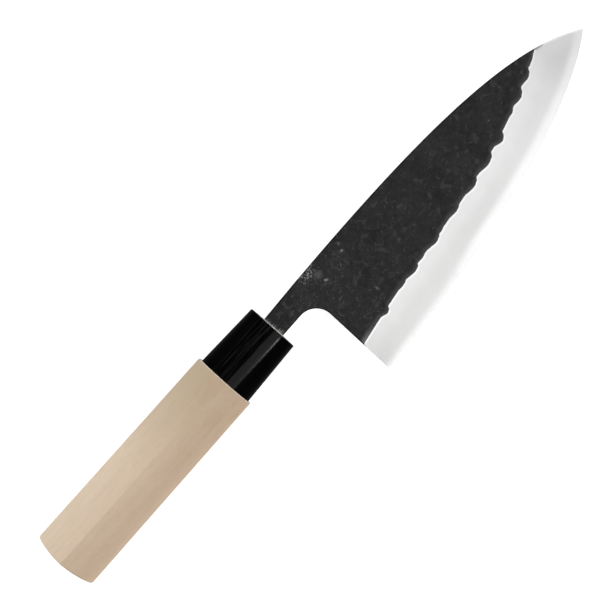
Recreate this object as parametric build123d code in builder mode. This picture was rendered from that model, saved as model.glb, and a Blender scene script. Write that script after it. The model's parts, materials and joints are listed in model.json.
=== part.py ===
from build123d import *
import os
from math import sqrt

# A right-handed deba knife with a two-layer blade and a magnolia handle.
#
# All sizes are in millimetres. The knife is drawn in its own frame: X runs from the
# ferrule's front face towards the tip, Y from the cutting edge towards the spine, Z out
# of the bevelled face. The handle's axis is X. At the end every piece is laid down as
# the knife lies on a table: on its edge's belly near the tip, and on the wood's front end.

# Blade, seen square on to its bevelled face
neck_length = 20.0  # ferrule's front face to the heel corner
blade_run = 161.9  # heel corner to tip, along the handle's axis
blade_depth = 53.95  # heel corner up to the spine
heel_drop = 48.5  # heel corner below the handle's axis
tip_rise = 34.0  # tip above the heel corner
neck_top = 4.65  # neck's upper side above the handle's axis, inside the ferrule
neck_bottom = 5.75  # neck's lower side below the handle's axis
heel_rake = 0.9  # how far the heel line leans towards the tip as it rises
choil_radius = 7.5  # round between the neck and the heel line

# Blade, across its thickness
neck_thickness = 5.5  # inside the ferrule
tip_thickness = 1.9  # of the forged face at the tip, before the bevel is ground
spine_round = 0.4  # rounding of all its long edges but the cutting edge
edge_land = 0.2  # flat left at the very edge
hard_layer_share = 0.25  # hard steel's share of the blade's thickness
hard_layer_start = 9.0  # rear end of the hard steel, ahead of the ferrule
rim_width = 3.2  # flat rim left round the hollow of the back
hollow_depth = 0.45  # depth of the hollow

# Tang, inside the handle
tang_length = 92.0  # ferrule's front face to the tang's end
tang_shoulder = 0.5  # step all round from the neck down to the tang
tang_end_height = 5.0
tang_end_thickness = 2.6

# Handle
handle_length = 132.2  # butt to the ferrule's front face
butt_half_height = 14.9
wood_front_half_height = 14.4
butt_half_thickness = 12.0
wood_front_half_thickness = 12.2
ridge_rise = 1.3  # ridge on the bevel side, over the oval at the butt
ridge_up = 0.4  # ridge above the handle's axis at the butt
butt_crown = 1.4  # bulge of the butt's face, from its middle to its upper and lower ends
butt_round = 0.6
shoulder_chamfer = 0.5

# Ferrule
ferrule_length = 30.0
ferrule_rear_half_height = 13.0
ferrule_rear_half_thickness = 11.2
ferrule_front_half_height = 11.9
ferrule_front_half_thickness = 10.3
ferrule_drop = 0.2  # the ferrule's centre below the handle's axis
ferrule_crown = 0.35  # bulge of its front face
ferrule_round = 0.5
ferrule_wall = 2.2
ferrule_front_wall = 4.0

# Fits
tenon_clearance = 0.05  # round the tenon, inside the ferrule
tenon_end_gap = 0.3  # tenon's end to the ferrule's front wall
slot_clearance = 0.35  # round the neck in the ferrule's slot, filled by the seal
seal_proud = 0.9  # seal ahead of the ferrule's front face
bed_thickness = 1.0  # resin round the tang in its socket
overrun = 4.0  # by which cutting shapes pass what they cut

# Outline points, as shares of the blade's run and of its depth at the heel
spine_shares = ((0.532, 1.039), (0.844, 0.966))
edge_shares = ((0.675, 0.122), (0.903, 0.430))
shinogi_shares = (
    (0.0, 0.276),
    (0.161, 0.349),
    (0.340, 0.408),
    (0.494, 0.469),
    (0.649, 0.563),
    (0.741, 0.651),
    (0.875, 0.810),
    (1.0, 1.030),
)
bevel_stations = 10

# Hammer marks where the forged face meets the bevel. Each row holds where the mark
# starts and ends, as shares of the shinogi's length, and its depth over the neck's
# thickness.
hammer_mark_shares = (
    (0.078, 0.114, 0.081),
    (0.204, 0.244, 0.040),
    (0.293, 0.334, 0.049),
    (0.359, 0.442, 0.034),
    (0.442, 0.508, 0.042),
    (0.508, 0.577, 0.046),
    (0.577, 0.642, 0.051),
    (0.704, 0.754, 0.029),
    (0.754, 0.805, 0.029),
)

# Hollow of the back: place along the blade, width and depth, each as a share
hollow_shares = (
    (0.05, 0.60, 0.25),
    (0.09, 0.88, 0.70),
    (0.18, 1.00, 1.00),
    (0.42, 1.00, 1.00),
    (0.66, 1.00, 0.85),
    (0.82, 0.92, 0.60),
    (0.90, 0.60, 0.30),
)

# Where the edge touches the table, as a share of its length. There the knife's weight
# hangs over the line from this place to the wood's front end.
rest_share = 0.80

# A quarter of an oval is one curve whose handles reach this share of its half sizes
oval_share = 0.5523

neck_rear = -ferrule_front_wall
back_z = -neck_thickness / 2
tip_x = neck_length + blade_run
up = Vector(0, 0, 1)


def blade_point(along_share, up_share):
    """A point of the blade's outline, from the heel corner."""
    return Vector(neck_length + along_share * blade_run, -heel_drop + up_share * blade_depth)


heel = blade_point(0, 0)
tip = heel + Vector(blade_run, tip_rise)
spine_start = blade_point(0, 1)
spine_controls = [spine_start, *(blade_point(*pair) for pair in spine_shares), tip]
edge_controls = [heel, *(blade_point(*pair) for pair in edge_shares), tip]

spine_line = Bezier(*spine_controls, mode=Mode.PRIVATE)
edge_line = Bezier(*edge_controls, mode=Mode.PRIVATE)
shinogi_line = Spline([blade_point(*pair) for pair in shinogi_shares], mode=Mode.PRIVATE)


def along(line, share):
    """The point at a share of a line's length, run on straight past its ends."""
    inside = min(max(share, 0), 1)
    place = line.position_at(inside * line.length, position_mode=PositionMode.LENGTH)
    return place + (line % inside) * ((share - inside) * line.length)


def thickness_at(x):
    """Thickness of the forged blade at a distance ahead of the ferrule."""
    return neck_thickness + (tip_thickness - neck_thickness) * x / tip_x


def upright_plane(foot, head):
    """The plane that stands on the line from foot to head, with its Y along Z."""
    across = (head - foot).normalized()
    return Plane(origin=foot, x_dir=across, z_dir=across.cross(up))


def side_profile(start_x, bottom_z, layer_share):
    """Side view of a share of the blade's thickness, from the back face up."""
    end_x = tip_x + overrun
    Polyline(
        (start_x, bottom_z),
        (end_x, bottom_z),
        (end_x, back_z + layer_share * thickness_at(end_x)),
        (start_x, back_z + layer_share * thickness_at(start_x)),
        close=True,
    )


def oval_outline(half_height, half_thickness, rise=0, ridge_y=0):
    """Oval across the handle. Its bevel side can rise to a ridge."""
    reach = oval_share * half_height
    shoulder = oval_share * half_thickness
    for side in (1, -1):
        edge_y = side * half_height
        Bezier(
            (edge_y, 0),
            (edge_y, shoulder),
            (ridge_y + side * reach, half_thickness - rise),
            (ridge_y, half_thickness + rise),
        )
        Bezier((edge_y, 0), (edge_y, -shoulder), (side * reach, -half_thickness), (0, -half_thickness))


def ferrule_half_sizes(x, inset):
    """Half height and half thickness of the ferrule at x, with a wall taken off."""
    back_share = -x / ferrule_length
    height = ferrule_front_half_height
    height += (ferrule_rear_half_height - ferrule_front_half_height) * back_share
    thickness = ferrule_front_half_thickness
    thickness += (ferrule_rear_half_thickness - ferrule_front_half_thickness) * back_share
    return height - inset, thickness - inset


def ferrule_plane(x):
    """The plane across the ferrule at x, centred on it."""
    return Plane((x, -ferrule_drop, 0), x_dir=(0, 1, 0), z_dir=(1, 0, 0))


def crown_radius(half_height, crown):
    """Radius of a round end that bulges by the crown over the half height."""
    return (half_height**2 + crown**2) / (2 * crown)


# The forged and ground blade, before it is parted into its two steels
with BuildPart() as blade:
    with BuildSketch():
        with BuildLine():
            Line((neck_rear, -neck_bottom), (neck_rear, neck_top))
            Line((neck_rear, neck_top), spine_start)
            add(spine_line)
            add(edge_line)
            Line(heel, (neck_length + heel_rake, -neck_bottom))
            Line((neck_length + heel_rake, -neck_bottom), (neck_rear, -neck_bottom))
        make_face()
        inner_corner = vertices().sort_by_distance((neck_length + heel_rake, -neck_bottom))[0]
        fillet(inner_corner, choil_radius)
    extrude(amount=neck_thickness, both=True)
    with BuildSketch(Plane.XZ):
        with BuildLine():
            side_profile(neck_rear, back_z, 1)
        make_face()
    extrude(amount=2 * heel_drop, both=True, mode=Mode.INTERSECT)

    # Its long edges are rounded, but not along the cutting edge
    cutting_wall = faces().sort_by_distance(edge_line @ 0.5)[0]
    rear_wall = faces().sort_by(Axis.X)[0]
    kept_edges = cutting_wall.edges() + rear_wall.edges()
    long_edges = (edges() - kept_edges).filter_by(Axis.Z, reverse=True)
    fillet(long_edges, spine_round)

    # Hammer marks along the shinogi
    for start_share, end_share, depth_share in hammer_mark_shares:
        start = along(shinogi_line, start_share)
        end = along(shinogi_line, end_share)
        middle = (start + end) / 2
        depth = depth_share * neck_thickness
        reach = (end - start).length / 2
        radius = (reach**2 + depth**2) / (2 * depth)
        face_z = back_z + thickness_at(middle.X)
        with Locations((middle.X, middle.Y, face_z + radius - depth)):
            Sphere(radius, mode=Mode.SUBTRACT)

    # The bevel, from the edge up to the shinogi
    past_end_share = overrun / blade_run
    inner_shares = [station / bevel_stations for station in range(bevel_stations + 1)]
    for share in [-past_end_share, *inner_shares, 1 + past_end_share]:
        foot = along(edge_line, share)
        head = along(shinogi_line, share)
        width = (head - foot).length
        rise = thickness_at(head.X) - edge_land
        foot_z = back_z + edge_land
        with BuildSketch(upright_plane(foot, head)):
            with BuildLine():
                Polyline(
                    (-width, foot_z - rise),
                    (2 * width, foot_z + 2 * rise),
                    (2 * width, foot_z + 2 * rise + overrun),
                    (-width, foot_z + 2 * rise + overrun),
                    close=True,
                )
            make_face()
    loft(mode=Mode.SUBTRACT)

    # The hollow of the back
    for share, width_share, depth_share in hollow_shares:
        foot = along(edge_line, share)
        head = along(spine_line, share)
        centre = (head - foot).length / 2
        reach = width_share * (centre - rim_width)
        depth = depth_share * hollow_depth
        with BuildSketch(upright_plane(foot, head)):
            with BuildLine():
                ThreePointArc(
                    (centre - reach, back_z),
                    (centre, back_z + depth),
                    (centre + reach, back_z),
                )
                Polyline(
                    (centre + reach, back_z),
                    (centre + reach, back_z - overrun),
                    (centre - reach, back_z - overrun),
                    (centre - reach, back_z),
                )
            make_face()
    loft(mode=Mode.SUBTRACT)

# Hard steel, the whole back of the blade and its cutting edge
with BuildPart() as edge_steel:
    add(blade.part)
    with BuildSketch(Plane.XZ):
        with BuildLine():
            side_profile(hard_layer_start, back_z - overrun, hard_layer_share)
        make_face()
    extrude(amount=2 * heel_drop, both=True, mode=Mode.INTERSECT)

# The tang is a bar that tapers from behind the neck to its end. The resin round it fills
# its socket in the wood, which has the same shape, larger all round.
neck_middle_y = (neck_top - neck_bottom) / 2
tang_root_height = neck_top + neck_bottom - 2 * tang_shoulder
tang_root_thickness = neck_thickness - 2 * tang_shoulder

# Soft iron, the forged face of the blade, its neck and its tang
with BuildPart() as cladding:
    add(blade.part)
    add(edge_steel.part, mode=Mode.SUBTRACT)
    with BuildSketch(Plane.YZ.offset(neck_rear)):
        with Locations((neck_middle_y, 0)):
            Rectangle(tang_root_height, tang_root_thickness)
    with BuildSketch(Plane.YZ.offset(-tang_length)):
        Rectangle(tang_end_height, tang_end_thickness)
    loft()

# Resin that beds the tang in the handle
with BuildPart() as tang_bedding:
    with BuildSketch(Plane.YZ.offset(neck_rear)):
        with Locations((neck_middle_y, 0)):
            Rectangle(tang_root_height + 2 * bed_thickness, tang_root_thickness + 2 * bed_thickness)
    with BuildSketch(Plane.YZ.offset(-tang_length - bed_thickness)):
        Rectangle(tang_end_height + 2 * bed_thickness, tang_end_thickness + 2 * bed_thickness)
    socket = loft()
    add(cladding.part, mode=Mode.SUBTRACT)

# Wooden handle. Each row holds where a section stands, by how much it is smaller all
# round than the full grip, and how much of the butt's shape it has.
grip_sections = (
    (-handle_length - butt_crown, butt_round + butt_crown, 1),
    (-handle_length + butt_round, 0, 1),
    (-ferrule_length - shoulder_chamfer, 0, 0),
    (-ferrule_length, shoulder_chamfer, 0),
)
with BuildPart() as handle:
    for x, inset, butt_share in grip_sections:
        half_height = wood_front_half_height - inset
        half_height += (butt_half_height - wood_front_half_height) * butt_share
        half_thickness = wood_front_half_thickness - inset
        half_thickness += (butt_half_thickness - wood_front_half_thickness) * butt_share
        with BuildSketch(Plane.YZ.offset(x)):
            with BuildLine():
                oval_outline(
                    half_height, half_thickness, ridge_rise * butt_share, ridge_up * butt_share
                )
            make_face()
    loft(ruled=True)
    crown = crown_radius(butt_half_height, butt_crown)
    with Locations((crown - handle_length, 0, 0)):
        Cylinder(crown, handle_length, mode=Mode.INTERSECT)

    # Tenon that fits the ferrule, and the socket for the tang
    for x in (-ferrule_length, neck_rear - tenon_end_gap):
        with BuildSketch(ferrule_plane(x)):
            with BuildLine():
                oval_outline(*ferrule_half_sizes(x, ferrule_wall + tenon_clearance))
            make_face()
    loft()
    add(socket, mode=Mode.SUBTRACT)

# Ferrule, a resin cap over the tenon with a slot for the neck
slot_height = neck_top + neck_bottom + 2 * slot_clearance
slot_thickness = neck_thickness + 2 * slot_clearance
with BuildPart() as ferrule:
    for x in (-ferrule_length, ferrule_crown):
        with BuildSketch(ferrule_plane(x)):
            with BuildLine():
                oval_outline(*ferrule_half_sizes(x, 0))
            make_face()
    loft()
    crown = crown_radius(ferrule_front_half_height, ferrule_crown)
    with Locations((-crown, -ferrule_drop, 0)):
        Sphere(crown, mode=Mode.INTERSECT)
    fillet(faces().sort_by(Axis.X)[-1].edges(), ferrule_round)

    for x in (-ferrule_length - overrun, neck_rear):
        with BuildSketch(ferrule_plane(x)):
            with BuildLine():
                oval_outline(*ferrule_half_sizes(x, ferrule_wall))
            make_face()
    loft(mode=Mode.SUBTRACT)
    with BuildSketch(Plane.YZ):
        with Locations((neck_middle_y, 0)):
            Rectangle(slot_height, slot_thickness)
    extrude(amount=ferrule_length, both=True, mode=Mode.SUBTRACT)

# Bead of resin that closes the slot round the neck
with BuildPart() as mouth_seal:
    with BuildSketch(Plane.YZ.offset(neck_rear)):
        with Locations((neck_middle_y, 0)):
            Rectangle(slot_height, slot_thickness)
    extrude(amount=ferrule_front_wall + seal_proud)
    add(cladding.part, mode=Mode.SUBTRACT)

# How the knife lies. The table's plane touches the cutting edge at one place, and slopes
# down from there until it just touches the oval at the wood's front end.
rest_length = rest_share * edge_line.length
touch = edge_line.position_at(rest_length, position_mode=PositionMode.LENGTH)
course = edge_line.tangent_at(rest_length, position_mode=PositionMode.LENGTH)
reach = course.Y * (touch.X + ferrule_length) - course.X * touch.Y
half_width = course.X * wood_front_half_height
spread = reach**2 - half_width**2
drop = sqrt((back_z * reach) ** 2 + spread * (wood_front_half_thickness**2 - back_z**2))
slope = (drop + back_z * reach) / spread
table = Plane(
    origin=touch + up * back_z,
    x_dir=(1, 0, slope * course.Y),
    z_dir=(-slope * course.Y, slope * course.X, 1),
)

# Laid down so, with the middle of the whole knife's footprint at the origin
pieces = {
    "cladding": cladding,
    "edge_steel": edge_steel,
    "tang_bedding": tang_bedding,
    "handle": handle,
    "ferrule": ferrule,
    "mouth_seal": mouth_seal,
}
on_table = table.location.inverse()
box = Compound([piece.part.moved(on_table) for piece in pieces.values()]).bounding_box()
lying = Pos(-box.center().X, -box.center().Y, -box.min.Z) * on_table

os.makedirs("parts", exist_ok=True)
for name, piece in pieces.items():
    piece.part = piece.part.moved(lying)
    piece.part.label = name
    export_step(piece.part, f"parts/{name}.step")
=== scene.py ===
# %% [markdown]
# A deba knife, lying on its back on a pale floor
#
# A deba is a heavy Japanese kitchen knife for fish. Its blade is ground on one side only.
# A black skin of forge scale covers the soft iron above the ground bevel, a thin layer of
# hard steel makes the back and the edge, and the handle is plain magnolia wood with a
# black resin ferrule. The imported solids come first. They fix where everything is, and
# each piece below is modelled over the solid that it stands for.

# %% Load the frame
import json
from bisect import bisect
from itertools import accumulate, pairwise
from math import atan2, cos, pi, radians, sin, sqrt

import bmesh
import bpy
from mathutils import Matrix, Vector, noise
from mathutils.geometry import interpolate_bezier


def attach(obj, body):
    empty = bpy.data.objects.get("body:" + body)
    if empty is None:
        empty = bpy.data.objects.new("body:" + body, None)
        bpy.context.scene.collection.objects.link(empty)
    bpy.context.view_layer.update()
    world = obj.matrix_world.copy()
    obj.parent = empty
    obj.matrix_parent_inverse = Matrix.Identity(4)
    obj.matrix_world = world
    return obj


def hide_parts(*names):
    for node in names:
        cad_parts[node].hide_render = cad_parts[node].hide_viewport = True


scene = bpy.context.scene
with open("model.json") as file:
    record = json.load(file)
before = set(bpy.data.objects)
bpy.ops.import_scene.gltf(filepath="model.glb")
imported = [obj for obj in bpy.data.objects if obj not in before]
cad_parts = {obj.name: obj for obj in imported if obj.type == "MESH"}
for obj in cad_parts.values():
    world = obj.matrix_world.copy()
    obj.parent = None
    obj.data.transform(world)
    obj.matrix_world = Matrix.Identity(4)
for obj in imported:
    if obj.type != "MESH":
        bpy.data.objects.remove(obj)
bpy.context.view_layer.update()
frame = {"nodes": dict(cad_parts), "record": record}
print("solids in the frame:", ", ".join(sorted(frame["nodes"])))

# %% [markdown]
# The knife's own axes
#
# The knife lies a little tilted, so it is easier to model in axes of its own: X along the
# handle towards the tip, Y from the edge to the spine, Z out of the bevelled face, in
# millimetres from the ferrule's front. The record's mounts say where these axes lie. One
# matrix, used once on each finished mesh, then lays the knife down.

# %% Find the knife's axes
MM = 0.001
handle_length = 132.2
ferrule_length = 30.0

mounts = {mount["name"]: mount for mount in frame["record"]["mounts"]}
grip_middle = Vector(mounts["grip"]["pos_m"])
forward = Vector(mounts["grip"]["axis"]).normalized()
outward = -Vector(mounts["back_rim"]["axis"])
across = outward.cross(forward).normalized()
outward = forward.cross(across)
origin = grip_middle + forward * (handle_length + ferrule_length) / 2 * MM
turned = Matrix((forward, across, outward)).transposed()
knife = Matrix.Translation(origin) @ turned.to_4x4()
print("ferrule's front at", [round(c / MM, 2) for c in origin], "mm")

# %% [markdown]
# The camera
#
# The picture was taken square on to the bevelled face from about a metre away, with the
# knife rising to the right. A long lens from that distance keeps the same perspective: the
# handle stands a little nearer to the camera than the blade and looks slightly larger.

# %% Set up the camera
frame_width = 259.9  # what the square picture spans at the blade
camera_distance = 1000.0
picture_middle = Vector((16.3, -5.9, camera_distance))
handle_rise = radians(48.4)

camera = bpy.data.objects.new("camera", bpy.data.cameras.new("camera"))
camera.data.lens = camera.data.sensor_width * camera_distance / frame_width
stand = Matrix.Translation(picture_middle * MM) @ Matrix.Rotation(-handle_rise, 4, "Z")
camera.matrix_world = knife @ stand
scene.collection.objects.link(camera)
scene.camera = camera
print("lens:", round(camera.data.lens, 1), "mm")

# %% [markdown]
# Lines that carry the blade
#
# Three lines in the plane of the blade decide its shape: the cutting edge, the spine, and
# the shinogi, where the bevel meets the forged face. Edge and spine are one Bezier curve
# each, and the shinogi runs smoothly through a few points. Once sampled finely, each can be
# asked for the point at any share of its length.

# %% Draw the blade's lines
neck_length = 20.0
blade_run = 161.9
blade_depth = 53.95
heel_drop = 48.5
tip_rise = 34.0
line_steps = 240  # on each Bezier curve
piece_steps = 30  # between two points of the shinogi

spine_shares = ((0.532, 1.039), (0.844, 0.966))
edge_shares = ((0.675, 0.122), (0.903, 0.430))
shinogi_shares = (
    (0.0, 0.276),
    (0.161, 0.349),
    (0.340, 0.408),
    (0.494, 0.469),
    (0.649, 0.563),
    (0.741, 0.651),
    (0.875, 0.810),
    (1.0, 1.030),
)


def blade_point(along_share, up_share):
    """A point in the plane of the blade, from the heel corner."""
    return Vector((neck_length + along_share * blade_run, -heel_drop + up_share * blade_depth))


class Course:
    """A line that can be asked for the point at a share of its length."""

    def __init__(self, points):
        self.points = points
        steps = [(end - start).length for start, end in pairwise(points)]
        self.length = sum(steps)
        self.shares = [0, *(run / self.length for run in accumulate(steps))]
        self.xs = [point.x for point in points]

    def between(self, places, place):
        """The point at a place, from the places of all the line's points."""
        index = min(max(bisect(places, place), 1), len(places) - 1)
        start, end = places[index - 1 : index + 1]
        return self.points[index - 1].lerp(self.points[index], (place - start) / (end - start))

    def at(self, share):
        return self.between(self.shares, share)

    def height_at(self, x):
        """The line's Y at an X, for a line whose X only grows."""
        return self.between(self.xs, x).y


def line_through(points, steps):
    """A smooth line through points, whose handles lean with the neighbours of each."""
    ends = [2 * points[0] - points[1], *points, 2 * points[-1] - points[-2]]
    line = []
    for before, start, end, after in zip(ends, ends[1:], ends[2:], ends[3:]):
        handles = start + (end - before) / 6, end - (after - start) / 6
        line += interpolate_bezier(start, *handles, end, steps)[:-1]
    return [Vector(point[:2]) for point in [*line, points[-1]]]


def curve_to_tip(start, shares):
    """One Bezier curve to the tip, whose handles are points in the plane of the blade."""
    handles = [blade_point(*pair) for pair in shares]
    line = interpolate_bezier(start, *handles, tip, line_steps)
    return Course([Vector(point[:2]) for point in line])


heel, spine_start = blade_point(0, 0), blade_point(0, 1)
tip = heel + Vector((blade_run, tip_rise))
spine = curve_to_tip(spine_start, spine_shares)
edge = curve_to_tip(heel, edge_shares)
shinogi = Course(line_through([blade_point(*pair) for pair in shinogi_shares], piece_steps))
print("edge", round(edge.length, 1), "mm, spine", round(spine.length, 1), "mm")

# %% [markdown]
# The ragged border of the forge scale
#
# The forged face is not flat: the hammer left shallow dents along it. Where the grinding
# stone met a dent, the bevel starts lower, so the border between black and bright runs in
# scallops. Each row below is one dent, by where it starts and ends and how far it pushes
# the border towards the edge. A dent grows slowly and ends in a steep step on the tip side.

# %% Describe the dents
dents = (
    (33.3, 39.4, 1.55),
    (46.5, 52.5, 0.45),
    (52.5, 61.2, 1.25),
    (60.5, 66.0, 0.30),
    (67.3, 76.6, 1.30),
    (75.0, 79.5, 0.35),
    (83.5, 91.2, 0.80),
    (94.8, 105.0, 1.40),
    (105.3, 117.0, 1.75),
    (118.6, 126.6, 2.05),
    (132.6, 136.7, 0.60),
    (137.0, 145.7, 1.75),
    (146.0, 153.8, 1.50),
    (153.0, 159.8, 0.35),
)
crest_share = 0.66  # where along a dent it is deepest
settled_share, settled_loss = 0.22, 0.25  # how far past that it sinks back, and how much
fall_share = 0.13  # the steep end's share of a dent's length
border_ruffle = 0.14  # small unevenness of the border
dent_reach = 8.0  # how far a dent runs up the forged face
hammer_depth = 0.09  # soft unevenness of the whole forged face
hammered_from, hammered_over = 24, 30  # where the marks begin, and how far they grow


def ease(share):
    """From 0 to 1, level at both ends."""
    share = min(max(share, 0), 1)
    return share * share * (3 - 2 * share)


def mix(first, second, share):
    """The value at a share of the way from the first to the second."""
    return first + (second - first) * share


def border_drop(x):
    """How far below the shinogi the border runs at x."""
    drop = 0
    for start, end, depth in dents:
        if start < x < end:
            share = (x - start) / (end - start)
            grown = ease(share / crest_share) ** 0.9
            sunk = 1 - settled_loss * ease((share - crest_share) / settled_share)
            drop = max(drop, depth * grown * sunk * ease((1 - share) / fall_share))
    ruffle = noise.noise((x * 0.9, 3.1, 0)) + 0.6 * noise.noise((x * 2.3, 7.7, 0))
    return max(drop + border_ruffle * ruffle, 0)


def hammered(x, y):
    """Depth of the hammer marks: broad ones of 11 by 8 mm, and small ones half as deep."""
    waves = noise.noise((x / 11, y / 8, 0.5)) + 0.5 * noise.noise((x / 5, y / 4, 4.5))
    return hammer_depth * (0.7 + waves) * ease((x - hammered_from) / hammered_over)


print("dents:", len(dents))

# %% [markdown]
# Thicknesses across the blade
#
# The forged blank tapers from the neck to the tip. The bevel falls in straight lines from
# the shinogi to the edge, and the back is scooped out in a shallow hollow with a flat rim.
# The hard steel is the lower quarter of the thickness, so the bevel cuts it open in a band
# about four millimetres wide along the edge.

# %% Work out the heights
neck_thickness = 5.5
tip_thickness = 1.9
edge_land = 0.2  # thickness left at the cutting edge
hard_layer_share = 0.25
hard_layer_start = 9.0  # its X, ahead of the ferrule
rim_width = 3.2
hollow_depth = 0.45
back_z = -neck_thickness / 2
hollow_shares = (
    (0.05, 0.60, 0.25),  # share of the blade's length, and of the hollow's width and depth
    (0.09, 0.88, 0.70),
    (0.18, 1.00, 1.00),
    (0.42, 1.00, 1.00),
    (0.66, 1.00, 0.85),
    (0.82, 0.92, 0.60),
    (0.90, 0.60, 0.30),
)


def thickness_at(x):
    return mix(neck_thickness, tip_thickness, x / tip.x)


def layer_top(x):
    """Top of the hard steel layer."""
    return back_z + hard_layer_share * thickness_at(x)


def hollow_at(share, distance, width):
    """Depth of the hollow of the back, at a distance from the edge on a blade so wide."""
    for (start, *shape), (end, *next_shape) in pairwise(hollow_shares):
        if start <= share <= end:
            blend = ease((share - start) / (end - start))
            wide, deep = (mix(*pair, blend) for pair in zip(shape, next_shape))
            off = (distance - width / 2) / (wide * (width / 2 - rim_width))
            return deep * hollow_depth * max(1 - off * off, 0)
    return 0


class BladeLine:
    """One straight line over the blade, from the edge through the shinogi to the spine."""

    def __init__(self, share):
        self.share = share
        self.foot = edge.at(share)
        head = shinogi.at(share)
        self.bevel_width = (head - self.foot).length
        self.course = (head - self.foot) / self.bevel_width
        self.bevel_rise = thickness_at(head.x) - edge_land
        self.width = 0
        for _ in range(8):  # the spine's height depends on X, so each round comes nearer
            x = self.foot.x + self.course.x * self.width
            self.width = max((spine.height_at(x) - self.foot.y) / self.course.y, 0)
        layer = hard_layer_share * thickness_at(self.foot.x) - edge_land
        self.layer_line = min(self.bevel_width * layer / self.bevel_rise, self.width)
        self.border = min(self.bevel_width - border_drop(head.x), self.width)

    def bevel_height(self, distance):
        return back_z + edge_land + self.bevel_rise * distance / self.bevel_width

    def forged_height(self, point, distance):
        """Z of the forged face, at a distance from the edge beyond the border."""
        face = back_z + thickness_at(point.x)
        dent = face - self.bevel_height(self.border)
        past = (distance - self.border) / dent_reach
        return face - dent * (1 - ease(past)) - hammered(point.x, point.y) * ease(past * 2)


print("bevel at the heel:", round(BladeLine(0).bevel_width, 1), "mm wide")

# %% [markdown]
# A net of faces over the blade
#
# The blade is one grid, laid over the lines above. Its rows come in bands: edge to steel
# line, steel line to border, border to the height of the choil, and on to the spine. So
# every line that shows on the real blade is a row of the mesh. The neck is a second grid,
# welded to the first where the choil ends. Each vertex keeps its heights and distances in
# layers, which the extrusion later copies and the finishes read.

# %% Shape the neck and the outline
neck_rear = -4.0
neck_top = 4.65
neck_bottom = 5.75
heel_rake = 0.9
heel_reach = 12  # how far along the blade the heel's lean is felt
choil_radius = 8.8
spine_round = 0.4
slope_reach = 0.3  # to both sides of the place whose slope is asked
tang_length = 92.0
tang_shoulder = 0.5
tang_end_height = 5.0
tang_end_thickness = 2.6

heel_line_height = heel_drop - neck_bottom
lean = atan2(heel_rake, heel_line_height)
choil_middle = Vector((0, -neck_bottom - choil_radius))
choil_share = (heel_drop + choil_middle.y) / heel_line_height
choil_middle.x = neck_length + heel_rake * choil_share - choil_radius / cos(lean)
choil_end = choil_middle + choil_radius * Vector((cos(lean), -sin(lean)))
neck_slope = (spine_start.y - neck_top) / (spine_start.x - neck_rear)
neck_middle = (neck_top - neck_bottom) / 2
tang_root_height = neck_top + neck_bottom - 2 * tang_shoulder
tang_root_thickness = neck_thickness - 2 * tang_shoulder


def tang_share(x):
    """How far along the tang a place is, from 0 at its end to 1 at the neck."""
    return (x + tang_length) / (neck_rear + tang_length)


def neck_spine(x):
    """Y of the neck's upper side."""
    return neck_top + neck_slope * (x - neck_rear)


def gap_to_outline(point):
    """How far inside the outline a point is, the cutting edge left aside."""
    x, y = point
    if x < neck_length:
        gap = neck_spine(x) - y
    else:
        rise = spine.height_at(x + slope_reach) - spine.height_at(x - slope_reach)
        gap = (spine.height_at(x) - y) * cos(atan2(rise, 2 * slope_reach))
    if y < choil_end.y:
        heel_x = neck_length + heel_rake * (y + heel_drop) / heel_line_height
        return min(gap, (x - heel_x) * cos(lean))
    if x > choil_middle.x:
        return min(gap, (point - choil_middle).length - choil_radius)
    return min(gap, y + neck_bottom)


def rounding(point):
    """How much the rounded long edges take off at a point."""
    inward = min(max(gap_to_outline(point), 0), spine_round)
    return spine_round - sqrt(spine_round**2 - (spine_round - inward) ** 2)


print("choil ends at", [round(c, 1) for c in choil_end])

# %% Place the rows and the lines
line_count = 400
band_rows = (6, 24, 16, 26)  # in each band, from the edge to the spine
neck_step, tang_step = 0.7, 8  # between the lines there
arc_steps = 22  # in the choil's round
border_crowding = 1.6  # how closely the rows stand above the border, where the dents are
seam = 0.02  # between two lines that stand at one place
weld = 0.003  # vertices nearer than this are one
round_rows = 4  # in the rounding of a long edge

heel_line = BladeLine(0)
choil_height = choil_end.y - heel.y - heel_line.border
choil_row_share = choil_height / (heel_line.width - heel_line.border)


def last_band(row, length):
    """Place of a row in the last band, whose ends are close set for the roundings."""
    rows = band_rows[-1]
    radius = min(spine_round, length / 4)
    if row > rows / 2:
        return length - last_band(rows - row, length)
    if row <= round_rows:
        return radius * (1 - cos(pi / 2 * row / round_rows))
    return radius + (length - 2 * radius) * (row - round_rows) / (rows - 2 * round_rows)


def row_distance(line, row):
    """Distance of a row from the edge, along its line."""
    choil_row = line.border + choil_row_share * (line.width - line.border)
    stops = (0, line.layer_line, line.border, choil_row)
    for rows, (start, end) in zip(band_rows, pairwise(stops)):
        if row <= rows:
            crowding = border_crowding if start == line.border else 1
            return mix(start, end, (row / rows) ** crowding)
        row -= rows
    return choil_row + last_band(row, line.width - choil_row)


def heel_shift(point):
    """The heel leans towards the tip as it rises, and takes the blade near it along."""
    if point.y < choil_end.y:
        shift = heel_rake * (point.y - heel.y) / heel_line_height
    else:
        above = (point.y - choil_end.y) / (spine_start.y - choil_end.y)
        shift = (choil_end.x - neck_length) * (1 - above)
    return shift * ease(1 - (point.x - neck_length) / heel_reach)


def spaced(start, end, step):
    """Even places from start to end, about a step apart."""
    count = max(round((end - start) / step), 1)
    return [start + (end - start) * place / count for place in range(count + 1)]


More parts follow.
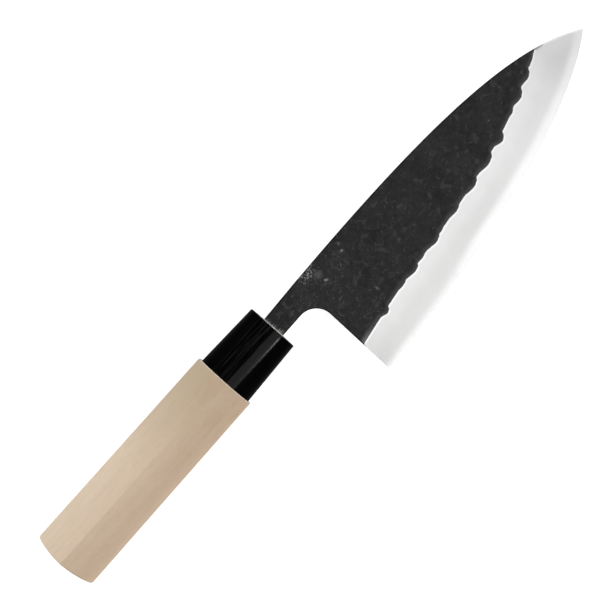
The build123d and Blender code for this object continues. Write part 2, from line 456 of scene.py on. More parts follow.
def neck_lines(places):
    """Foot and head of each line across the tang and the neck, on to the choil's end."""
    for x in places:
        share = tang_share(x)
        if share <= 1:
            half = mix(tang_end_height, tang_root_height, share) / 2
            middle = neck_middle * share
            yield Vector((x, middle - half)), Vector((x, middle + half))
        else:
            yield Vector((x, -neck_bottom)), Vector((x, neck_spine(x)))
    for step in range(arc_steps + 1):
        angle = pi / 2 - (pi / 2 + lean) * step / arc_steps
        foot = choil_middle + choil_radius * Vector((cos(angle), sin(angle)))
        share = (foot.x - choil_middle.x) / (choil_end.x - choil_middle.x)
        x = mix(choil_middle.x, neck_length, share)
        yield foot, Vector((x, neck_spine(x)))


print("rows from edge to spine:", sum(band_rows))

# %% Lay the net
layer_names = ("top", "bottom", "from_outline", "from_layer", "from_border")


def lay_grid(mesh, across_count, up_count, place):
    """Adds a grid whose vertex i, j is put where place says, with its layers filled."""
    made = bmesh.ops.create_grid(mesh, x_segments=across_count, y_segments=up_count, size=0.5)
    for vert in made["verts"]:
        i = round((vert.co.x + 0.5) * across_count)
        j = round((vert.co.y + 0.5) * up_count)
        point, values = place(i, j)
        vert.co = (*point, 0)
        for name, value in zip(layer_names, values):
            vert[mesh.verts.layers.float[name]] = value


def blade_net(first_row, neck_places, heights):
    """Net over the blade from a row up to the spine, and over the neck."""
    mesh = bmesh.new()
    for name in layer_names:
        mesh.verts.layers.float.new(name)
    lines = [BladeLine(place / line_count) for place in range(line_count + 1)]
    necks = list(neck_lines(neck_places))

    def filled(point, distance, line, like):
        """A point and its layers, with steel line and border as on a line like this."""
        around = gap_to_outline(point), distance - like.layer_line, distance - like.border
        return point, (*heights(line, point, distance), *around)

    def on_blade(i, j):
        line = lines[i]
        distance = row_distance(line, first_row + j)
        point = line.foot + line.course * distance
        point.x += heel_shift(point)
        return filled(point, distance, line, line)

    def on_neck(i, j):
        foot, head = necks[i]
        length = head.y - foot.y
        point = foot.lerp(head, last_band(j, length) / length)
        return filled(point, point.y - heel.y, None, heel_line)

    lay_grid(mesh, line_count, sum(band_rows) - first_row, on_blade)
    lay_grid(mesh, len(necks) - 1, band_rows[-1], on_neck)
    bmesh.ops.remove_doubles(mesh, verts=mesh.verts, dist=weld)
    stray = [vert for vert in mesh.verts if not vert.link_faces]
    bmesh.ops.delete(mesh, geom=stray, context="VERTS")
    return mesh


def verts_of(made):
    """The vertices among all that an operator made."""
    return [item for item in made if isinstance(item, bmesh.types.BMVert)]


def thicken(mesh):
    """Pulls the flat net out to a solid, between the two heights of each vertex.

    Where both heights meet, flaps without thickness can be left, and they are cut off. On
    so flat a shell the recalculated normals can all point inwards, which its volume tells.
    """
    names = mesh.verts.layers.float
    for vert in mesh.verts:
        vert.co.z = vert[names["bottom"]]
    pulled = bmesh.ops.extrude_face_region(mesh, geom=mesh.faces[:])["geom"]
    for vert in verts_of(pulled):
        vert.co.z = vert[names["top"]]
    bmesh.ops.remove_doubles(mesh, verts=mesh.verts, dist=weld)
    bmesh.ops.dissolve_degenerate(mesh, edges=mesh.edges, dist=weld / 2)
    while flaps := [face for face in mesh.faces if any(e.is_boundary for e in face.edges)]:
        bmesh.ops.delete(mesh, geom=flaps, context="FACES")
    bmesh.ops.recalc_face_normals(mesh, faces=mesh.faces)
    if mesh.calc_volume(signed=True) < 0:
        bmesh.ops.reverse_faces(mesh, faces=mesh.faces)
    return mesh


print("layers of each vertex:", ", ".join(layer_names))

# %% [markdown]
# From a mesh to a piece
#
# Every piece is modelled in the knife's axes and laid down once, so its object sits at the
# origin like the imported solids. Smooth shading hides the facets. Corners that are corners
# on the real knife are marked sharp. Each piece prints its open edges and its volume,
# which would be negative if its faces looked inwards.

# %% Turn meshes into pieces
corner = radians(38)  # edges that turn more than this stay sharp
upright = 0.5  # how much a normal points up, below which its face is a wall


def to_object(name, mesh, finishes):
    """Turns a mesh into an object of the scene."""
    shape = bpy.data.meshes.new(name)
    mesh.to_mesh(shape)
    mesh.free()
    for finish in finishes:
        shape.materials.append(finish)
    made = bpy.data.objects.new(name, shape)
    scene.collection.objects.link(made)
    return made


def make_piece(name, mesh, finishes, stands_for, smooth_below=corner):
    """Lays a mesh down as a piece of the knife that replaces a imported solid."""
    open_edges = sum(not edge_line.is_manifold for edge_line in mesh.edges)
    volume = mesh.calc_volume(signed=True) / 1000
    bmesh.ops.transform(mesh, matrix=knife @ Matrix.Scale(MM, 4), verts=mesh.verts)
    for face in mesh.faces:
        face.smooth = True
    for edge_line in mesh.edges:
        if len(edge_line.link_faces) == 2 and edge_line.calc_face_angle() > smooth_below:
            edge_line.smooth = False
    piece = to_object(name, mesh, finishes)
    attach(piece, "root")
    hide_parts(stands_for)
    piece.data.calc_loop_triangles()
    triangles = len(piece.data.loop_triangles)
    print(f"{name}: {triangles} triangles, {open_edges} open edges, {volume:.1f} cm3")


# %% [markdown]
# Finishes as sums
#
# A procedural finish is a small sum: so much grain, less so much where the surface is worn.
# The class below lets such sums be written as Python sums, and adds the Math nodes. Every
# finish reads the knife's own axes in millimetres, so its patterns have real sizes and
# stay in place on every piece.

# %% Write materials as sums


def math_node(operation):
    """An operator that joins a signal and another value by one Math node."""
    return lambda self, other: self.math(operation, self, other)


class Signal:
    """A number that varies over a surface, from a socket of a material's nodes."""

    def __init__(self, finish, socket):
        self.finish, self.socket = finish, socket

    def math(self, operation, first, second):
        inputs = {0: first, 1: second}
        return self.finish.node("ShaderNodeMath", {"operation": operation}, inputs)

    __add__ = __radd__ = math_node("ADD")
    __sub__ = math_node("SUBTRACT")
    __mul__ = math_node("MULTIPLY")
    __pow__ = math_node("POWER")
    least = math_node("MINIMUM")
    most = math_node("MAXIMUM")

    def __rsub__(self, other):
        return self.math("SUBTRACT", other, self)

    def step(self, start, end):
        """From 0 at start to 1 at end, smoothly."""
        settings = {"interpolation_type": "SMOOTHSTEP"}
        return self.finish.node("ShaderNodeMapRange", settings, {0: self, 1: start, 2: end})

    def fade(self, start, end):
        """From 1 at start to 0 at end, smoothly."""
        return 1 - self.step(start, end)

    def band(self, *stops):
        """Rises from 0 to 1 between the first two stops and fades between the last two."""
        return self.step(*stops[:2]) * self.fade(*stops[2:])


class Finish:
    """A material in the making, with the knife's axes as its coordinates."""

    def __init__(self, name, **constants):
        self.material = bpy.data.materials.new(name)
        self.material.use_nodes = True
        self.tree = self.material.node_tree
        self.shader = self.tree.nodes["Principled BSDF"]
        self.set(**constants)
        own = self.node("ShaderNodeTexCoord", {}, {}, "Object")
        settings = {"vector_type": "TEXTURE"}
        laid = {"Location": origin, "Rotation": knife.to_euler(), "Scale": (MM, MM, MM)}
        self.place = self.node("ShaderNodeMapping", settings, {"Vector": own, **laid})
        parts = {"Vector": self.place}
        self.x, self.y = (self.node("ShaderNodeSeparateXYZ", {}, parts, axis) for axis in "XY")

    def node(self, kind, settings, values, output=0):
        """Adds a node: its settings first, then the values or links of its sockets."""
        made = self.tree.nodes.new(kind)
        for name, value in settings.items():
            setattr(made, name, value)
        for name, value in values.items():
            self.feed(made.inputs[name], value)
        return Signal(self, made.outputs[output])

    def feed(self, socket, value):
        if isinstance(value, Signal):
            self.tree.links.new(value.socket, socket)
        else:
            socket.default_value = value

    def set(self, **values):
        """Feeds the shader's sockets, named with _ for a space."""
        for socket, value in values.items():
            self.feed(self.shader.inputs[socket.replace("_", " ")], value)
        return self.material

    def noise(self, size, detail=3.0, roughness=0.5, bend=0.0, scale=None, over=None):
        """Soft noise from 0 to 1 with features of a size in mm, drawn out by a scale below 1."""
        place = over or self.place
        if scale:
            place = self.node("ShaderNodeMapping", {}, {"Vector": place, "Scale": scale})
        values = {
            "Vector": place,
            "Scale": 1 / size,
            "Detail": detail,
            "Roughness": roughness,
            "Distortion": bend,
        }
        return self.node("ShaderNodeTexNoise", {}, values)

    def blend(self, share, first, second):
        """Mixes two colours."""
        inputs = {0: share, 6: first, 7: second}
        return self.node("ShaderNodeMix", {"data_type": "RGBA"}, inputs, 2)

    def layered(self, colour, *layers):
        """Lays more colours over one. Each layer is how much it covers, and its colour."""
        for share, tone in layers:
            colour = self.blend(share, colour, tone)
        return colour

    def attribute(self, name):
        """A value that the vertices carry."""
        return self.node("ShaderNodeAttribute", {"attribute_name": name}, {}, "Fac")

    def bump(self, height, depth, strength=1.0):
        """Raises the surface by a height from 0 to 1, times a depth in millimetres."""
        values = {"Height": height, "Distance": depth * MM, "Strength": strength}
        return self.node("ShaderNodeBump", {}, values)


def grey(level, warmth=0.0):
    """A grey, a little warmer or cooler."""
    return (level * (1 + warmth), level, level * (1 - warmth), 1.0)


print("finishes read millimetres in the knife's axes")

# %% [markdown]
# Forge scale
#
# The black on the forged face is the skin of oxide from the forge. It is matt and mottled,
# slightly uneven to the touch, and thinner, so paler, beside the bevel. Noise at three
# sizes gives the mottling and the relief. Bare metal shows in a rubbed place by the spine,
# in a few spots, and in a strip with short streaks beside the ferrule, where the blade was
# wiped when it was set. The rubbed place and the streaks are a fine noise, of which only
# the brightest part counts.

# %% Mix the forge scale
worn_spots = (  # X, Y, radius and how bare each spot is
    (45.2, 2.4, 0.8, 0.12),
    (43.9, -0.5, 0.6, 0.26),
    (30.2, -3.8, 0.55, 0.40),
    (29.5, 0.2, 1.9, 0.09),
    (42.0, -22.2, 0.8, 0.12),
)


def forge_scale():
    finish = Finish("forge_scale", Specular_IOR_Level=0.3)
    clouds = finish.noise(12, 4.0, 0.6, 0.5)
    mottle = finish.noise(2.2, 5.0, 0.7, 0.4)
    grain = finish.noise(0.4, 3.0, 0.6)
    shade = clouds * 0.4 + mottle * 0.6

    # Paler patches, and flecks that show more near the heel
    near_heel = finish.x.fade(20, 75)
    patches = finish.noise(3.2, 3.0, 0.55, 0.8).step(0.54, 0.70)
    flecks = finish.noise(1.5, 4.0, 0.7, 1.0, (1, 1.5, 1))
    flecks = (flecks + clouds * 0.18 + near_heel * 0.02).step(0.69, 0.82)

    # The thin skin along the border, thinnest at the heel, and painted shade along the rounded
    # outline
    border = finish.attribute("from_border")
    halo = border.fade(0, 2.6) * (grain * 1.6 - 0.35) + border.fade(0, 0.7) * 0.3
    thin = border.fade(0.2, 2.6) * finish.x.fade(21, 31) * (mottle + grain * 0.6)
    rubbed_place = finish.x.band(20.5, 23.5, 29.5, 32.5) * finish.y.band(-0.5, 2.5, 7.5, 10.5)
    outline = finish.attribute("from_outline").fade(0.1, 0.8)
    black = finish.layered(
        finish.blend(shade.step(0.34, 0.66), grey(0.0060), grey(0.0185)),
        (patches * 0.5, grey(0.045)),
        (flecks * (0.5 + near_heel * 0.5), grey(0.08)),
        (halo.most(0), grey(0.085)),
        ((thin * 0.9).least(1), grey(0.15)),
        # painted shade along the rounded outline, lighter where the spine is rubbed
        (outline * (1 - rubbed_place * 0.8), grey(0.004)),
    )

    # Bare metal: the rubbed place by the spine, a few spots, and the strip at the ferrule
    rubbed = finish.noise(0.55, 3.0, 0.65, 0.3, (1, 0.4, 1))
    bare = (rubbed + rubbed_place * 0.18).step(0.67, 0.82) * 0.5
    uneven = (mottle - 0.5) * 3.5 + (grain - 0.5) * 1.2
    for x, y, radius, strength in worn_spots:
        along, up = finish.x - x + uneven, finish.y - y - uneven
        away = (along * along + up * up) ** 0.5
        bare = bare.most(away.fade(radius * 0.2, radius * 1.5) * strength)
    streaks = finish.noise(0.35, 3.0, 0.6, scale=(0.12, 1, 1))
    lower = finish.y.fade(-3.5, 1.5) * 0.16
    fading = (streaks + lower - finish.x * 0.13).step(0.33, 0.55) * 0.6
    strip = finish.x.fade(0.6, 0.9) * 0.85
    bare = bare.most(fading * finish.x.fade(2.0, 3.5)).most(strip)
    bare = bare * finish.x.step(-1, 0)
    relief = clouds * 0.45 + mottle * 0.4 + grain * 0.15
    return finish.set(
        Base_Color=finish.blend(bare, black, grey(0.52, 0.01)),
        Roughness=0.66 + (mottle - 0.5) * 0.2 - bare * 0.25,
        Metallic=bare * 0.7,
        Normal=finish.bump(relief, 0.12, 0.7),
    )


scale_black = forge_scale()
print("made", scale_black.name)

# %% [markdown]
# Ground iron and ground steel
#
# The bevel was ground on a stone, across the blade. Soft iron comes off the stone cloudy
# grey, hard steel nearly white. One fades into the other over a few millimetres, as the
# two were welded and the stone blurs the seam. Each vertex carries its distance from the
# seam, so the fade follows it, a little lower towards the heel. Right at the border with
# the scale a painted highlight draws a thin bright rim. The steel is greyer in the middle
# of the blade, and a painted sheen makes the bevel brighter towards the tip than at the heel.

# %% Mix the ground metals
fade_start, fade_end = 2.2, -1.8  # above and below the seam, from iron to steel
heel_delay = 1.8  # how much lower the fade runs near the heel


def ground_metal(name, back=False):
    finish = Finish(name)
    clouds = finish.noise(9, 3.0, 0.5, 0.3)
    lines = finish.noise(0.35, 4.0, 0.6, scale=(1, 0.06, 0.06))
    border = finish.attribute("from_border")
    if back:
        hard, rim = finish.noise(30, 1.0) * 0.2 + 0.7, 0.0
    else:
        delay = finish.x.fade(60, 88) * heel_delay
        hard = (finish.attribute("from_layer") + delay).fade(fade_end, fade_start)
        # A painted highlight: a thin bright rim along the border with the scale
        rim = border.step(-1.4, -0.1) * 0.9
    middle, belly_painted_sheen = finish.x.band(32, 45, 68, 88), finish.x.band(85, 135, 150, 168)
    tone = finish.layered(
        finish.blend(border.step(-9, -2), grey(0.545), grey(0.60)),
        (hard, finish.blend(middle, grey(0.66), grey(0.615))),
        (rim, grey(0.76)),
        ((clouds * 0.6 + lines * 0.4).step(0.35, 0.7) * 0.10, grey(0.45)),
        # painted sheen, brighter towards the tip than at the heel
        (belly_painted_sheen * 0.17, grey(0.85)),
    )
    return finish.set(
        Base_Color=tone,
        Metallic=0.75,
        Roughness=0.46 - hard * 0.04 + (lines - 0.5) * 0.12,
        Normal=finish.bump(lines, 0.012, 0.5),
    )


ground_iron = ground_metal("ground_iron")
ground_steel = ground_metal("ground_steel")
hollow_steel = ground_metal("hollow_ground_back", back=True)
print("made", ground_iron.name, ground_steel.name, hollow_steel.name)

# %% [markdown]
# The soft iron
#
# Iron makes up most of the blade, the neck and the tang in the handle. The net starts at
# the steel line. Its lower side rests on the steel, and ahead of the ferrule, where the
# hard steel starts, it steps up by the steel's thickness.

# %% Forge the iron


def iron_heights(line, point, distance):
    """Upper and lower Z of the iron."""
    share = tang_share(point.x)
    if share <= 1:
        half = mix(tang_end_thickness, tang_root_thickness, share) / 2
        return half, -half
    taken = rounding(point)
    top = back_z + thickness_at(point.x) - taken
    if line and distance <= line.border:
        top = min(top, line.bevel_height(distance))
    elif line:
        top = line.forged_height(point, distance) - taken
    if point.x < hard_layer_start + seam / 2:
        return top, back_z + taken
    return top, min(layer_top(point.x), top)


iron_places = spaced(-tang_length, neck_rear, tang_step)
iron_places += spaced(neck_rear + seam, hard_layer_start, neck_step)
iron_places += spaced(hard_layer_start + seam, choil_middle.x, neck_step)[:-1]
iron = thicken(blade_net(band_rows[0], iron_places, iron_heights))

from_border = iron.verts.layers.float["from_border"]
for face in iron.faces:
    below = all(vert[from_border] <= weld for vert in face.verts)
    face.material_index = int(below and face.normal.z > upright)
make_piece("iron_blade", iron, (scale_black, ground_iron), "cladding")

# %% [markdown]
# The hard steel
#
# The steel is the whole back of the blade, with the cutting edge. Its back is hollow
# ground: a shallow scoop, deepest along the middle, leaves a flat rim that is quick to
# sharpen. The same net is used again, now from the edge on, with the scoop as its lower
# side. The bevel meets the steel's hidden top at a low angle, so that corner is marked
# sharp by hand. Smooth shading would bend the light there and show the seam as a step.

# %% Grind the steel


def steel_heights(line, point, distance):
    """Upper and lower Z of the hard steel."""
    top = layer_top(point.x)
    if not line:
        return top, back_z + rounding(point)
    if distance <= line.layer_line:
        top = min(top, line.bevel_height(distance))
    scoop = hollow_at(line.share, distance, line.width)
    return top, back_z + rounding(point) + scoop


steel_places = spaced(hard_layer_start + seam, choil_middle.x, neck_step)[:-1]
steel = thicken(blade_net(0, steel_places, steel_heights))

from_layer = steel.verts.layers.float["from_layer"]
for face in steel.faces:
    middle = face.calc_center_median()
    wall = abs(face.normal.z) < upright and max(vert[from_layer] for vert in face.verts) > 0
    on_neck = middle.x < neck_length + 1 and middle.y > choil_end.y
    if wall or on_neck:
        face.material_index = 2
    elif face.normal.z < 0:
        face.material_index = 1
for seam_edge in steel.edges:
    if all(abs(vert[from_layer]) < weld for vert in seam_edge.verts):
        seam_edge.smooth = False
make_piece("steel_edge", steel, (ground_steel, hollow_steel, scale_black), "edge_steel")

# %% [markdown]
# Rings for the handle
#
# Wood and ferrule are both round bars with an oval section that changes along the knife.
# A ring of vertices is extruded from station to station, and each new ring takes the
# shape of its section. The oval is four Bezier quarters. On the bevel side the wood rises
# to a soft ridge, which sits under the fingers of a right hand.

# %% Make rings
oval_share = 0.5523  # length of a Bezier handle that bends a quarter round
quarter_steps = 24
ring_count = 4 * quarter_steps


def oval(half_height, half_thickness, rise=0, ridge_y=0, middle_y=0, flat=oval_share):
    """The ring of an oval as points across the handle. A larger flat makes flatter sides."""
    reach, shoulder = flat * half_height, oval_share * half_thickness
    slope = half_thickness - rise
    top, bottom = (half_height, 0), (-half_height, 0)
    ridge, back = (ridge_y, half_thickness + rise), (0, -half_thickness)
    quarters = (
        (top, (half_height, shoulder), (ridge_y + reach, slope), ridge),
        (ridge, (ridge_y - reach, slope), (-half_height, shoulder), bottom),
        (bottom, (-half_height, -shoulder), (-reach, -half_thickness), back),
        (back, (reach, -half_thickness), (half_height, -shoulder), top),
    )
    ring = []
    for quarter in quarters:
        corners = [Vector((*point, 0)) for point in quarter]
        ring += interpolate_bezier(*corners, quarter_steps + 1)[:-1]
    return [Vector((point.x + middle_y, point.y)) for point in ring]


def bar_ring(half_height, half_thickness, middle_y, radius):
    """The ring of a rectangle with rounded corners, point for point like an oval."""
    ring = []
    for step in range(ring_count):
        quarter, share = divmod(step / quarter_steps, 1)
        side_y = 1 if quarter in (0, 3) else -1
        side_z = 1 if quarter < 2 else -1
        turn = share if quarter in (0, 2) else 1 - share
        bend = pi / 2 * ease(turn)
        y = (half_height - radius) * min(2 - 2 * turn, 1) + radius * cos(bend)
        z = (half_thickness - radius) * min(2 * turn, 1) + radius * sin(bend)
        ring.append(Vector((middle_y + side_y * y, side_z * z)))
    return ring


def quarter_turn(steps):
    """How far along and how far in a rounding has come at each step."""
    for step in range(steps + 1):
        turn = pi / 2 * step / steps
        yield sin(turn), 1 - cos(turn)


def loft(stations, closed=False):
    """Extrudes a ring through stations, each an X, or one per point, and a ring."""
    mesh = bmesh.new()
    bmesh.ops.create_circle(mesh, segments=ring_count, radius=1)
    verts, edges = mesh.verts[:], mesh.edges[:]
    first_edges = edges
    for number, (x, ring) in enumerate(stations):
        if number:
            pulled = bmesh.ops.extrude_edge_only(mesh, edges=edges)["geom"]
            fresh = set(verts_of(pulled))
            edges = [item for item in pulled if isinstance(item, bmesh.types.BMEdge)]
            edges = [item for item in edges if fresh.issuperset(item.verts)]
            verts = [
                next(v for e in old.link_edges for v in e.verts if v in fresh) for old in verts
            ]
        places = x if isinstance(x, list) else [x] * ring_count
        for vert, place, point in zip(verts, places, ring):
            vert.co = (place, *point)
    if closed:
        bmesh.ops.bridge_loops(mesh, edges=first_edges + edges)
    else:
        bmesh.ops.edgeloop_fill(mesh, edges=first_edges)
        bmesh.ops.edgeloop_fill(mesh, edges=edges)
    bmesh.ops.remove_doubles(mesh, verts=mesh.verts, dist=weld)
    bmesh.ops.recalc_face_normals(mesh, faces=mesh.faces)
    return mesh


print("points in a ring:", ring_count)

# %% [markdown]
# Magnolia wood
#
# Bare sanded magnolia is pale, with fine straight grain, short dark pores along it and
# faint cloudy patches. It is darker on the end grain of the butt, and painted shade
# darkens it towards the ferrule, more on the spine side.
# The grain is noise stretched along the handle. The pores are a second, finer noise, of
# which only the darkest part counts. A broad noise makes it rosier in places, and short
# flecks show more on the lower side, where the saw cut the wood nearer to its rays.

# %% Mix the wood
wood_front = -29.9  # the shoulder against the ferrule
butt_half_height = 14.9
butt_crown = 1.4  # how far the butt's face falls back to its upper and lower side


def magnolia():
    finish = Finish("magnolia_wood", Specular_IOR_Level=0.3)
    drift = finish.noise(26, 2.0, 0.5, 0.5)
    sway = finish.node("ShaderNodeCombineXYZ", {}, {"Y": drift * 3})
    bent = finish.node("ShaderNodeVectorMath", {"operation": "ADD"}, {0: finish.place, 1: sway})
    grain = finish.noise(1.5, 4.0, 0.55, 0.2, (0.035, 1, 1), bent)
    rings = finish.noise(5.0, 2.0, 0.5, 0.3, (0.035, 1, 1), bent)
    pores = finish.noise(0.34, 2.0, scale=(0.16, 1, 1), over=bent).fade(0.30, 0.42)
    speckle = finish.noise(0.6, 3.0, 0.7, scale=(0.4, 1, 1), over=bent)
    shade = grain * 0.35 + rings * 0.35 + speckle * 0.3
    cloudy = finish.noise(4.5, 3.0, 0.6, 0.8, (0.45, 1, 1)).step(0.42, 0.68)
    tight = 0.12 + finish.x.step(-110, -40) * 0.16
    rosy = finish.noise(7, 2.0, scale=(0.6, 1, 1)).step(0.4, 0.62)
    flecks = speckle.step(0.5, 0.68) * (0.08 + finish.y.fade(-2, 2) * 0.12)
    # painted shade towards the ferrule, deeper on the spine side
    painted_ferrule_shade = finish.x.step(-90, -28) * (0.35 + finish.y.step(-12, 10) * 0.65)
    height = finish.y * (1 / butt_half_height)
    end_grain = (finish.x + handle_length - height * height * butt_crown).fade(0.1, 0.4)
    # a painted highlight on the chamfer at the shoulder
    shoulder = finish.x.step(wood_front - 0.35, wood_front - 0.2)
    colour = finish.layered(
        finish.blend(shade.step(0.32, 0.68), (0.555, 0.43, 0.308, 1), (0.625, 0.50, 0.378, 1)),
        (cloudy * tight, (0.45, 0.325, 0.22, 1)),
        (drift.step(0.35, 0.7) * 0.4, (0.57, 0.44, 0.315, 1)),
        (rosy * 0.35, (0.60, 0.465, 0.365, 1)),
        (flecks, (0.40, 0.29, 0.195, 1)),
        (painted_ferrule_shade * 0.8, (0.38, 0.285, 0.185, 1)),
        (pores * 0.22, (0.38, 0.27, 0.17, 1)),
        (end_grain * (0.25 + rings * 0.5), (0.40, 0.285, 0.18, 1)),
        (shoulder * 0.8, (0.80, 0.70, 0.60, 1)),
    )
    return finish.set(
        Base_Color=colour,
        Roughness=0.58 + (grain - 0.5) * 0.15,
        Normal=finish.bump(grain * 0.6 - pores * 0.4, 0.05, 0.4),
    )


magnolia_wood = magnolia()
print("made", magnolia_wood.name)

# %% [markdown]
# The wooden grip
#
# The grip runs from a slightly domed butt to a small chamfer at the ferrule, and on as a
# tenon inside it. The tenon has the socket for the tang. All of it is one loft: rings for
# the dome, the rounded rim, the grip, the chamfer and the tenon, and then inwards again
# for the socket. The ridge is crisp near the butt and soft towards the ferrule, so a
# corner of the wood counts as sharp from a smaller angle than on the other pieces.

# %% Turn the grip
wood_front_section = (14.4, 12.2)  # half height and half thickness, here and below
butt_section = (butt_half_height, 12.0)
ferrule_rear_section = (13.0, 11.2)
ferrule_front_section = (11.9, 10.3)
ridge_rise = 1.3
ridge_up = 0.4
ridge_corner = radians(14)
butt_round = 0.35
shoulder_chamfer = 0.25
ferrule_drop = 0.2  # of its middle line, below the wood's
ferrule_crown = 0.1
ferrule_round = 0.2
ferrule_front = 0.4
front_flat = 0.70  # in place of oval_share, for flatter sides
ferrule_wall = 2.2
tenon_clearance = 0.05
tenon_end_gap = 0.3
bed_thickness = 1.0
socket_round = 0.3
butt_rings = 12
grip_step = 4  # between two rings


def section_between(first, second, share, inset):
    """The section at a share of the way, smaller all round by an inset."""
    return [mix(*sizes, share) - inset for sizes in zip(first, second)]


def grip_ring(x, inset=0, scale=1):
    """The wood's ring at x, smaller all round by an inset and scaled to its middle."""
    butt_share = min(max((x + ferrule_length) / (ferrule_length - handle_length), 0), 1)
    section = section_between(wood_front_section, butt_section, butt_share, inset)
    ring = oval(*section, ridge_rise * butt_share, ridge_up * butt_share)
    return x, [point * scale for point in ring]


def ferrule_ring(x, inset=0):
    """The ferrule's ring at x. Its sides are flatter at the front."""
    rear_share = -x / ferrule_length
    section = section_between(ferrule_front_section, ferrule_rear_section, rear_share, inset)
    flat = mix(front_flat, oval_share, rear_share)
    return x, oval(*section, middle_y=-ferrule_drop, flat=flat)


def butt_station(inset, scale, behind):
    """A ring on the butt's face, which is rounded along its height, or on its rim."""
    ring = grip_ring(-handle_length, inset, scale)[1]
    crowns = [butt_crown * (point.x / butt_half_height) ** 2 for point in ring]
    return [-handle_length + crown + behind for crown in crowns], ring


stations = [butt_station(butt_round, step / butt_rings, 0) for step in range(1, butt_rings)]
for along, inward in quarter_turn(10):
    stations.append(butt_station(butt_round * (1 - along), 1, butt_round * inward))
grip_start, grip_end = -handle_length + grip_step, wood_front - shoulder_chamfer
stations += [grip_ring(x) for x in spaced(grip_start, grip_end, grip_step)]
stations.append(grip_ring(wood_front, shoulder_chamfer))
tenon_end = neck_rear - tenon_end_gap
stations += [ferrule_ring(x, ferrule_wall + tenon_clearance) for x in (wood_front, tenon_end)]
socket = (
    (tenon_end, tang_root_height, tang_root_thickness, neck_middle),
    (-tang_length - bed_thickness, tang_end_height, tang_end_thickness, 0),
)
for x, *sizes, middle in socket:
    halves = [size / 2 + bed_thickness for size in sizes]
    stations.append((x, bar_ring(*halves, middle, socket_round)))
make_piece("wooden_grip", loft(stations), (magnolia_wood,), "handle", ridge_corner)

# %% [markdown]
# Polished resin
#
# The ferrule is cast black resin, turned and polished to a deep gloss. Fine scratches from
# the last polish run along it and spread its highlights into streaks, and grey streaks
# painted along its middle stand in for reflections. Its seal and the bed of the tang are
# resin too, pale and matt, and they get a plain cloudy finish.

# %% Mix the resins


def black_resin():
    finish = Finish("black_resin", Specular_IOR_Level=0.08)
    streaks = finish.noise(1.1, 3.0, 0.6, scale=(0.02, 1, 1))
    fine = finish.noise(0.5, 2.0, scale=(0.03, 1, 1))
    clouds = finish.noise(9, 2.0)
    # painted reflections: grey streaks along the middle of the ferrule
    painted_reflection_streaks = (streaks * 0.7 + fine * 0.3).step(0.47, 0.60) * finish.y.band(-8, -3, 3, 9)
    return finish.set(
        Base_Color=finish.blend(painted_reflection_streaks, grey(0.0003), grey(0.0085)),
        Roughness=0.085 + streaks * 0.04 + clouds * 0.03,
        Normal=finish.bump(fine, 0.004, 0.1),
    )


def pale_resin(name, light, dark):
    finish = Finish(name, Specular_IOR_Level=0.4)
    clouds = finish.noise(1.2, 4.0, 0.6)
    return finish.set(
        Base_Color=finish.blend(clouds.step(0.3, 0.7), dark, light),
        Roughness=0.42 + clouds * 0.2,
        Normal=finish.bump(clouds, 0.05, 0.4),
    )


gloss_black = black_resin()
seal_resin = pale_resin("seal_resin", (0.78, 0.775, 0.755, 1), (0.62, 0.61, 0.585, 1))
bed_resin = pale_resin("bed_resin", (0.55, 0.42, 0.22, 1), (0.44, 0.32, 0.16, 1))
print("made", gloss_black.name, seal_resin.name, bed_resin.name)

# %% [markdown]
# The ferrule and its seal
#
# The ferrule is a cap over the tenon, slightly narrower and flatter at its front, with a
# slot for the neck in its front wall. Its rings run from the rear rim along the outside,
# over the rounded front and inwards to the slot, through the wall, and back along the
# inside. The bead of the seal fills the slot round the neck and stands a little proud.

# %% Turn the ferrule
slot_clearance, slot_round = 0.35, 0.8
bead_clearance, bead_round = 0.02, 0.4
bead_set_back = 0.1  # of its rounding, behind the ferrule's front
bead_narrowing = 0.9  # share of the way from the slot to the neck
seal_proud = 0.3
face_rings = 8
ferrule_step = 3  # between two rings along its sides


def ring_round_neck(clearance, radius):
    """A ring so much wider than the neck all round."""
    half_height = (neck_top + neck_bottom) / 2 + clearance
    return bar_ring(half_height, neck_thickness / 2 + clearance, neck_middle, radius)


def ring_between(first, second, share):
    return [start.lerp(end, share) for start, end in zip(first, second)]


stations = [ferrule_ring(x) for x in spaced(wood_front, -ferrule_step, ferrule_step)]
rim_x = ferrule_front - ferrule_crown - ferrule_round
for along, inward in quarter_turn(6):
    x, rim_ring = ferrule_ring(rim_x, ferrule_round * inward)
    stations.append((x + ferrule_round * along, rim_ring))
slot_ring = ring_round_neck(slot_clearance, slot_round)
for step in range(1, face_rings + 1):
    share = step / face_rings
    x = ferrule_front - ferrule_crown * (1 - share) ** 2
    stations.append((x, ring_between(rim_ring, slot_ring, share)))
stations.append((neck_rear, slot_ring))
stations += [ferrule_ring(x, ferrule_wall) for x in (neck_rear, wood_front)]
make_piece("resin_ferrule", loft(stations, closed=True), (gloss_black,), "ferrule")

neck_ring = ring_round_neck(bead_clearance, bead_round)
bead_side = ferrule_front - 2 * bead_set_back
stations = [(neck_rear, neck_ring), (neck_rear, slot_ring), (bead_side, slot_ring)]
for along, inward in quarter_turn(5):
    ring = ring_between(slot_ring, neck_ring, bead_narrowing * inward)
    stations.append((ferrule_front - bead_set_back + seal_proud * along, ring))
make_piece("seal_bead", loft(stations, closed=True), (seal_resin,), "mouth_seal")

bed = frame["nodes"]["tang_bedding"]
bed.data.materials.clear()
bed.data.materials.append(bed_resin)
print("kept the packed solid for the bed of the tang")

# %% [markdown]
# Floor and light
#
# A product picture like this is lit so that the pale floor goes almost white and the dark
# parts keep a few clear reflections. A large soft light stands below the picture. Its
# mirror image fills the bevel and draws one grey band along the ferrule, and a small light
# farther out draws the thin bright line beside that band. A cool one above lights the
# upper side of the wood, and a weak warm one below its lower side. These two and the floor
# are kept out of reflections, so the rest of the ferrule stays black. The floor glows a
# little, which opens the shadows. A far wall hides the horizon and sheds no light.

# %% Lay the floor
floor_half_width, wall_radius, wall_height = 12.0, 11.5, 9  # in metres


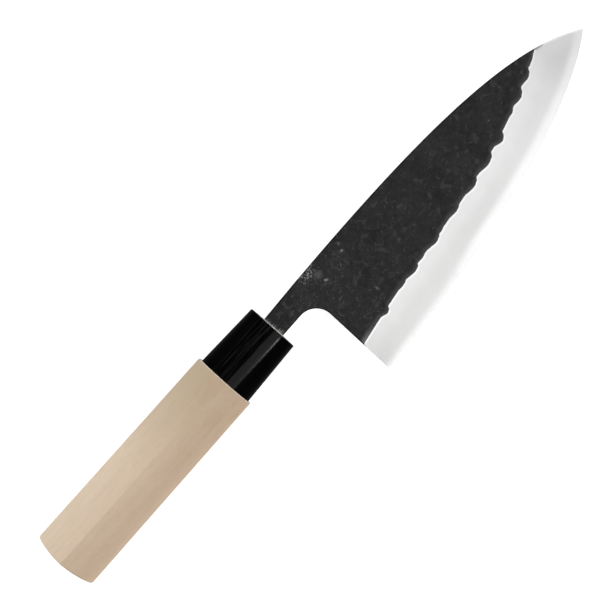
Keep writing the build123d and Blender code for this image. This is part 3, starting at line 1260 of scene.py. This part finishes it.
def floor_finish():
    finish = Finish("pale_floor", Emission_Strength=0.82)
    clouds = finish.noise(300, 2.0)
    tone = finish.blend(clouds, grey(0.40), grey(0.43))
    return finish.set(Base_Color=tone, Roughness=0.75 + clouds * 0.1, Emission_Color=grey(1.0))


pale_floor = floor_finish()
floor_mesh = bmesh.new()
bmesh.ops.create_grid(floor_mesh, x_segments=8, y_segments=8, size=floor_half_width)
floor = to_object("floor", floor_mesh, (pale_floor,))
floor.visible_glossy = False

wall_mesh = bmesh.new()
bmesh.ops.create_circle(wall_mesh, segments=64, radius=wall_radius)
raised = bmesh.ops.extrude_edge_only(wall_mesh, edges=wall_mesh.edges[:])["geom"]
bmesh.ops.translate(wall_mesh, vec=(0, 0, wall_height), verts=verts_of(raised))
backdrop = to_object("backdrop", wall_mesh, (pale_floor,))
backdrop.visible_glossy = backdrop.visible_diffuse = backdrop.visible_shadow = False

# %% Set the lights


def soft_light(name, off_axis, distance, size, watts, along=0, tint=(1, 1, 1), mirrored=True):
    """A rectangular light, so many degrees off the camera's axis towards the spine.

    Its distance, and its place along the knife, are in millimetres, its size in metres.
    """
    lamp = bpy.data.lights.new(name, "AREA")
    lamp.shape = "RECTANGLE"
    lamp.size, lamp.size_y = size
    lamp.energy, lamp.color = watts, tint
    light = bpy.data.objects.new(name, lamp)
    angle = radians(off_axis)
    middle = Vector((along, distance * sin(angle), distance * cos(angle)))
    facing = Matrix.Rotation(-angle, 4, "X")
    light.matrix_world = knife @ Matrix.Translation(middle * MM) @ facing
    light.visible_glossy = mirrored
    scene.collection.objects.link(light)


soft_light("low_softbox", -24, 1200, (1.6, 0.68), 7.5, along=440)
soft_light("strip", -36.6, 1200, (0.07, 0.08), 0.85, along=60)
soft_light("high_softbox", 58, 1300, (1.2, 0.6), 17, -150, (0.93, 0.965, 1.0), False)
soft_light("low_fill", -55, 1300, (1.2, 0.6), 4.6, 0, (1.0, 0.83, 0.70), False)

world = bpy.data.worlds.new("studio")
world.use_nodes = True
sky = world.node_tree.nodes["Background"].inputs
sky["Color"].default_value = (0.96, 0.98, 1.0, 1)
sky["Strength"].default_value = 0.15
scene.world = world
scene.view_settings.view_transform = "Standard"
